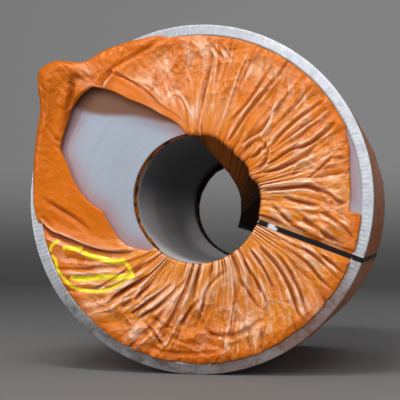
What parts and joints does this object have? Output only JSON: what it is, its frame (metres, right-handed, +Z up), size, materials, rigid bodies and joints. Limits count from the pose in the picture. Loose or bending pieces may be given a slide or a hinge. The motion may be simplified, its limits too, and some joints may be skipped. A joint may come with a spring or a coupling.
{
  "type": "steel coil",
  "caption": "Wound steel strip coil on its side, film-wrapped, with a torn front film, a steel edge ring at each end and a strap through the bore.",
  "frame": {"origin": "centre of the bore at mid width", "axes": "+Y along the bore from the seen end to the far end, +Z up, +X to the right when the seen end is looked at"},
  "size_m": [1.3548, 1.3306, 1.3548],
  "materials": {
    "steel": "cold-rolled, satin, with the edges of the turns showing",
    "film": "glossy wrapping film, gathered and creased",
    "galvanised": "galvanised, crimped",
    "strap": "black lacquered strapping",
    "seal": "black lacquered, crimped"
  },
  "bodies": {
    "root": {"steel_coil": "steel", "barrel_film": "film", "end_film_front": "film", "end_film_back": "film", "edge_ring_front": "galvanised", "edge_ring_back": "galvanised", "eye_strap": "strap", "strap_seal": "seal"}
  },
  "joints": []
}
